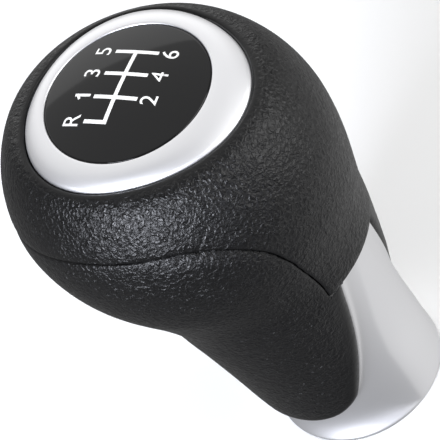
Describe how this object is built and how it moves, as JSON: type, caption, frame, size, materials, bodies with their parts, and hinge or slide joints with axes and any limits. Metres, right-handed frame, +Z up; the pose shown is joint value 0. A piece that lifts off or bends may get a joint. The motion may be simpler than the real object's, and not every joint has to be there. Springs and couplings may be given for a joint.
{
  "type": "gear shift knob",
  "caption": "Manual gear shift knob with a leather-covered ball head, plated neck sleeve, oval trim ring, domed dial and a threaded socket for the lever.",
  "frame": {"origin": "on the lever axis at the mouth of the threaded socket, level with the neck's foot", "axes": "+Z up the lever axis towards the head, +Y to the front of the car, +X to its right, so the driver is towards -Y"},
  "size_m": [0.057, 0.0615, 0.0864],
  "materials": {
    "leather": "black pebble-grained leather",
    "satin_plating": "satin silver plating on plastic",
    "dial_black": "gloss black with a printed white gate",
    "core_plastic": "plain moulded black",
    "insert_brass": "turned",
    "screw_steel": "zinc plated"
  },
  "bodies": {
    "root": {"head_cover": "leather", "grip_cover": "leather", "neck_sleeve": "satin_plating", "trim_ring": "satin_plating", "dial_lens": "dial_black", "cap_core": "core_plastic", "body_core": "core_plastic", "lever_insert": "insert_brass", "cap_screws": "screw_steel"}
  },
  "joints": []
}
